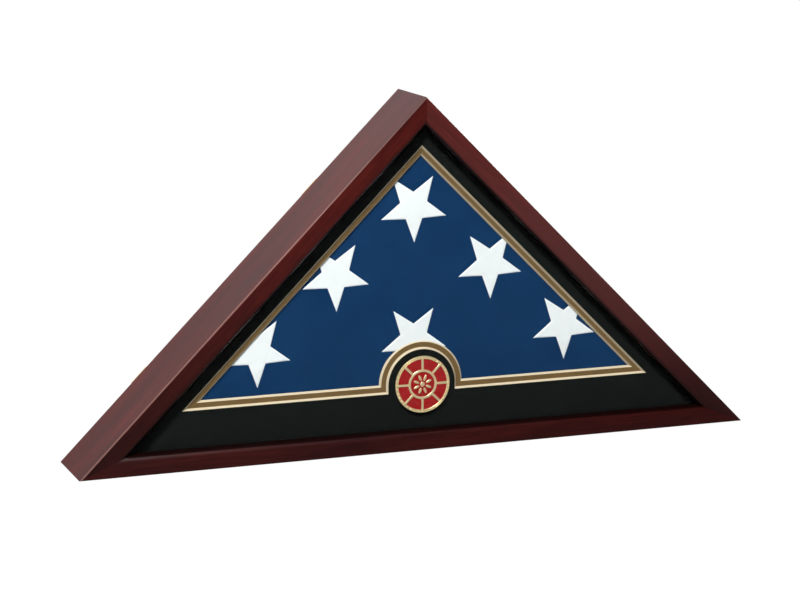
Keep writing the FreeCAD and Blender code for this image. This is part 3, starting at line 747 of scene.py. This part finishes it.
def sew_star(shape, x, z, turn, cloth_at, outward):
    rim = []
    for point in range(2 * STAR_POINTS):
        reach = STAR_RADIUS * (STAR_WAIST if point % 2 else 1)
        angle = turn - math.pi / 2 + math.pi * point / STAR_POINTS
        rim.append(Vector((x + reach * math.cos(angle), z + reach * math.sin(angle))))
    sides = [(start, (end - start).normalized()) for start, end in zip(rim, rim[1:] + rim[:1])]
    made = len(shape.verts)
    hub = shape.verts.new((x, 0, z))
    tips = [shape.verts.new((spot.x, 0, spot.y)) for spot in rim]
    for tip, next_tip in zip(tips, tips[1:] + tips[:1]):
        shape.faces.new((hub, tip, next_tip))
    bmesh.ops.subdivide_edges(shape, edges=edges_at([hub] + tips), cuts=STAR_CUTS, use_grid_fill=True)
    for vert in newest(shape, made):
        spot = Vector((vert.co.x, vert.co.z))
        inward = min(abs((start - spot).cross(along)) for start, along in sides)
        border = BORDER_RISE * max(1 - abs(inward - BORDER_HALF) / BORDER_HALF, 0)
        rise = THREAD_RISE * min(inward / THREAD_RAMP, 1) + border
        vert.co.y = cloth_at(vert.co.x, vert.co.z) + outward * (THREAD_GAP + rise)
    sewn = len(shape.verts)
    bmesh.ops.extrude_edge_only(shape, edges=[edge for edge in shape.edges if edge.is_boundary])
    bmesh.ops.translate(shape, verts=newest(shape, sewn), vec=(0, -outward * THREAD_ROOT, 0))
    bmesh.ops.contextual_create(shape, geom=[edge for edge in shape.edges if edge.is_boundary])


stars = bmesh.new()
for row, row_height in enumerate(STAR_ROWS):
    for place_in_row in range(row + 1):
        along = (place_in_row - row / 2) * STAR_STEP
        x = STARS_MIDDLE + along * math.cos(FIELD_TILT)
        z = row_height + along * math.sin(FIELD_TILT)
        sew_star(stars, x, z, FIELD_TILT, flag_front, -1)
        sew_star(stars, -x, z, -FIELD_TILT, flag_rear, 1)
bmesh.ops.remove_doubles(stars, verts=stars.verts, dist=SAME_PLACE)
settle("flag_stars", stars, "frame", "flag_cloth", white_thread, sharp=60)

# Back panel and lining
# A loose sheet of brown hardboard drops into the rear rebate, smooth side out, its arrises eased.
# Black felt is glued to the inner side, so that the flag lies against cloth.
PANEL_EDGE = 9.5 * MM
PANEL_THICK = 5 * MM
PANEL_EASE = 0.6 * MM

brown_hardboard, board, board_face = new_finish("brown_hardboard")
pressed = board.spots()
pulp = pressed.stretched((1, 1, 1.4)).cloud(520, 5)
flecks = pressed.cloud(1700, 2).between(0.60, 0.70)
blotches = pressed.cloud(9, 3)
plain_board = (0.6 * pulp + 0.4 * blotches).mixed(shade(84, 54, 34), shade(126, 88, 58))
apply(board_face, {
    "Base Color": (0.5 * flecks).mixed(plain_board, shade(58, 36, 22)),
    "Roughness": 0.5 + 0.2 * pulp,
    "Normal": pulp.bump(0.2, 0.08 * MM),
    "Specular IOR Level": 0.3,
})
panel = bmesh.new()
sheet = panel.faces.new([panel.verts.new((x, LEDGE, z)) for x, z in triangle(PANEL_EDGE)])
draw_out(panel, [sheet], (0, PANEL_THICK, 0))
ease(panel, panel.edges[:], PANEL_EASE, 3)
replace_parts(settle("panel_board", panel, "back_panel", "panel_board", brown_hardboard), "back_panel")

black_felt, felt, felt_face = new_finish("black_felt")
matted = felt.spots()
fuzz = matted.cloud(800, 5)
apply(felt_face, {
    "Base Color": (0.7 * fuzz + 0.3 * matted.cloud(25, 2)).mixed(shade(10, 10, 11), shade(38, 38, 40)),
    "Roughness": 0.95,
    "Normal": fuzz.bump(0.6, 0.3 * MM),
    "Sheen Weight": 0.25,
})
dress(black_felt, "panel_lining")

# Turn buttons and screws
# Six round-ended brass strips turn on slotted round-head screws in the rear rim to keep the panel in.
# At rest they lie along the rim, clear of the panel, stamped out and brushed along their length.
BUTTON_RADIUS = 4 * MM
BUTTON_REACH = 18 * MM
BUTTON_THICK = 1.6 * MM
BUTTON_BORE = 1.6 * MM
BUTTON_LIFT = 0.3 * MM
BUTTON_EASE = 0.35 * MM
BUTTON_STEPS = 48
STAMPED_ANGLE = 1
SCREW_HEAD = 3.4 * MM
SCREW_CROWN = 2 * MM
SCREW_SHANK = 1.52 * MM
SCREW_BITE = 14 * MM
SCREW_POINT = 4 * MM
SCREW_STEPS = 40
DOME_STEPS = 8
SLOT_HALF = 0.45 * MM
SLOT_DEPTH = 0.9 * MM
FIRST_SLOT, NEXT_SLOT = 35, 50
BASE_PIVOT = 170 * MM
LEG_PIVOT = 120 * MM
PIVOTS = [
    ("bottom", -BASE_PIVOT), ("bottom", BASE_PIVOT), ("left", -LEG_PIVOT), ("left", LEG_PIVOT),
    ("right", -LEG_PIVOT), ("right", LEG_PIVOT),
]

brushed_brass, metal, metal_face = new_finish("brushed_brass")
along_strip = metal.add("ShaderNodeAttribute", {"attribute_name": "brushed"}, {}, "Vector")
brushing = along_strip.stretched((120, 2600, 2600)).cloud(1, 3)
handling = along_strip.cloud(260, 3)
apply(metal_face, {
    "Base Color": (0.5 * brushing + 0.5 * handling).mixed(shade(170, 132, 68), shade(214, 178, 108)),
    "Metallic": 1.0,
    "Roughness": 0.24 + 0.2 * brushing + 0.1 * handling,
    "Normal": brushing.bump(0.12, 0.05 * MM),
})


def mark_brushing(shape):
    brushed = shape.verts.layers.float_vector.new("brushed")
    for vert in shape.verts:
        vert[brushed] = vert.co.copy()


for number, (side, along) in enumerate(PIVOTS, start=1):
    button = bmesh.new()
    facing_back = Matrix.Rotation(math.pi / 2, 4, "X")
    outline, bore = [
        bmesh.ops.create_circle(button, segments=BUTTON_STEPS, radius=radius, matrix=facing_back)["verts"]
        for radius in (BUTTON_RADIUS, BUTTON_BORE)
    ]
    tip = [vert for vert in outline if vert.co.x > SAME_PLACE]
    bmesh.ops.translate(button, verts=tip, vec=(BUTTON_REACH, 0, 0))
    flat = bmesh.ops.bridge_loops(button, edges=edges_at(outline + bore))["faces"]
    draw_out(button, flat, (0, BUTTON_THICK, 0))
    bmesh.ops.recalc_face_normals(button, faces=button.faces)
    stamped = [edge for edge in button.edges if edge.calc_face_angle(0) > STAMPED_ANGLE]
    ease(button, stamped, BUTTON_EASE, 3)
    mark_brushing(button)
    place = rail_place(side, along, RIM / 2, CASE_REAR + BUTTON_LIFT)
    bmesh.ops.transform(button, matrix=place, verts=button.verts)
    label = f"turn_button_{number}"
    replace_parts(settle(f"brass_button_{number}", button, label, "turn_button", brushed_brass), label)

under_head = BUTTON_THICK + 2 * BUTTON_LIFT
crown_top = under_head + SCREW_CROWN
ball = (SCREW_HEAD ** 2 + SCREW_CROWN ** 2) / (2 * SCREW_CROWN)
lean = [math.asin(SCREW_HEAD / ball) * step / DOME_STEPS for step in range(DOME_STEPS + 1)]
dome = [(ball * math.sin(angle), crown_top - ball * (1 - math.cos(angle))) for angle in lean]
shank = [(SCREW_SHANK, under_head), (SCREW_SHANK, SCREW_POINT - SCREW_BITE), (0, -SCREW_BITE)]
screw = bmesh.new()
spun(screw, dome + shank, FULL_TURN, SCREW_STEPS)
bmesh.ops.remove_doubles(screw, verts=screw.verts, dist=SAME_PLACE)
for flank in (-SLOT_HALF, SLOT_HALF):
    bmesh.ops.bisect_plane(screw, geom=whole(screw), dist=SAME_PLACE, plane_co=(0, 0, flank),
                           plane_no=(0, 0, 1))
slot_faces = [
    face for face in screw.faces
    if face.calc_center_median().y > under_head + SAME_PLACE
    and abs(face.calc_center_median().z) < SLOT_HALF
]
sunk = bmesh.ops.extrude_face_region(screw, geom=slot_faces)["geom"]
bmesh.ops.delete(screw, geom=[face for face in slot_faces if face.is_valid], context="FACES_ONLY")
for vert in verts_in(sunk):
    vert.co.y = min(vert.co.y, crown_top - SLOT_DEPTH)
bmesh.ops.remove_doubles(screw, verts=screw.verts, dist=SAME_PLACE)
screw_mesh = bpy.data.meshes.new("slotted_screw")
screw.to_mesh(screw_mesh)
screw.free()
screws = bmesh.new()
for number, (side, along) in enumerate(PIVOTS):
    made = len(screws.verts)
    screws.from_mesh(screw_mesh)
    turn_slot = Matrix.Rotation(math.radians(FIRST_SLOT + NEXT_SLOT * number), 4, "Y")
    place = rail_place(side, along, RIM / 2, CASE_REAR)
    bmesh.ops.transform(screws, matrix=place @ turn_slot, verts=newest(screws, made))
mark_brushing(screws)
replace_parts(settle("brass_screws", screws, "frame", "brass_screw", brushed_brass), "turn_button_screws")

# Floor, light and camera
# The case stands on a plain white sweep under a soft lamp, high in front and a little to the left, with
# a faint lamp low on that side and one behind. The camera looks slightly down from the left of centre.
FLOOR_SIZE = 12
SHADE_FADES = (0.35, 0.9)
AMBIENT = 0.03
ROOM_MIRRORED = 0.04
REAR_GLOW = 2.1
GLOW_HEIGHT = (0.15, 0.42)
GLOW_BEHIND = (0.1, 0.6)
CASE_MIDDLE = Vector((0, 0, 150 * MM))
# The way to each lamp from the case, its distance and size in metres, and its power in watts
LAMPS = {
    "key_lamp": (Vector((-0.3, -0.55, 0.78)), 3.2, 0.6, 158),
    "fill_lamp": (Vector((-0.6, -0.8, 0.06)), 2.2, 0.5, 3),
    "rear_lamp": (Vector((0.55, 0.78, 0.3)), 2.6, 0.8, 60),
}
CAMERA_AT = Vector((-0.8517, -2.2559, 0.6051))
CAMERA_AZIMUTH = math.radians(-20.413)
CAMERA_ELEVATION = math.radians(10.962)
SENSOR_WIDTH = 36
LENS = 115.75


def rays(tone, kind):
    return tone.add("ShaderNodeLightPath", {}, {}, f"Is {kind} Ray")


white_sweep, sweep, plain_shader = new_finish("white_sweep")
sweep.tree.nodes.remove(plain_shader)
from_case = sweep.add("ShaderNodeVectorMath", {"operation": "LENGTH"}, {0: sweep.spots()}, "Value")
dull_paint = sweep.add("ShaderNodeBsdfDiffuse", {}, {"Color": (0.3, 0.3, 0.3, 1)})
white_paint = sweep.add("ShaderNodeBsdfDiffuse", {}, {"Color": (0.9, 0.9, 0.9, 1)})
glow = sweep.add("ShaderNodeEmission", {}, {"Color": (1, 1, 1, 1), "Strength": 1})
near_share = 0.9 + 0.1 * from_case.between(*SHADE_FADES)
background = sweep.add("ShaderNodeMixShader", {}, {0: near_share, 1: white_paint, 2: glow})
shown = rays(sweep, "Camera") + rays(sweep, "Transmission") + ROOM_MIRRORED * rays(sweep, "Glossy")
floor_paint = sweep.add("ShaderNodeMixShader", {}, {0: shown, 1: dull_paint, 2: background})
apply(sweep.tree.nodes["Material Output"], {"Surface": floor_paint})
ground = bmesh.new()
bmesh.ops.create_grid(ground, x_segments=1, y_segments=1, size=FLOOR_SIZE / 2)
floor_mesh = bpy.data.meshes.new("floor")
ground.to_mesh(floor_mesh)
ground.free()
floor_mesh.materials.append(white_sweep)
floor = bpy.data.objects.new("floor", floor_mesh)
bpy.context.scene.collection.objects.link(floor)

studio = bpy.data.worlds.new("studio")
studio.use_nodes = True
room = Tone(studio.node_tree)
heading = room.add("ShaderNodeTexCoord", {}, {}, "Generated")
rear_glow = heading.axis("Z").between(*GLOW_HEIGHT) * heading.axis("Y").between(*GLOW_BEHIND)
mirrored = rays(room, "Glossy") * (ROOM_MIRRORED + REAR_GLOW * rear_glow)
ambient = room.add("ShaderNodeBackground", {}, {"Color": (1, 1, 1, 1), "Strength": AMBIENT})
strength = rays(room, "Camera") + rays(room, "Transmission") + mirrored
surround = room.add("ShaderNodeBackground", {}, {"Color": (1, 1, 1, 1), "Strength": strength})
shown = rays(room, "Camera") + rays(room, "Transmission") + rays(room, "Glossy")
all_round = room.add("ShaderNodeMixShader", {}, {0: shown, 1: ambient, 2: surround})
apply(studio.node_tree.nodes["World Output"], {"Surface": all_round})
bpy.context.scene.world = studio

for name, (towards, distance, size, power) in LAMPS.items():
    lamp = bpy.data.lights.new(name, "AREA")
    lamp.shape = "DISK"
    lamp.size = size
    lamp.energy = power
    direction = towards.normalized()
    stand = bpy.data.objects.new(name, lamp)
    stand.location = CASE_MIDDLE + direction * distance
    stand.rotation_euler = direction.to_track_quat("Z", "Y").to_euler()
    bpy.context.scene.collection.objects.link(stand)

camera = bpy.data.cameras.new("camera")
camera.sensor_width = SENSOR_WIDTH
camera.lens = LENS
tripod = bpy.data.objects.new("camera", camera)
towards_camera = Vector((
    math.sin(CAMERA_AZIMUTH) * math.cos(CAMERA_ELEVATION),
    -math.cos(CAMERA_AZIMUTH) * math.cos(CAMERA_ELEVATION),
    math.sin(CAMERA_ELEVATION),
))
tripod.location = CAMERA_AT
tripod.rotation_euler = (-towards_camera).to_track_quat("-Z", "Y").to_euler()
bpy.context.scene.collection.objects.link(tripod)
bpy.context.scene.camera = tripod
bpy.context.scene.view_settings.view_transform = "Standard"
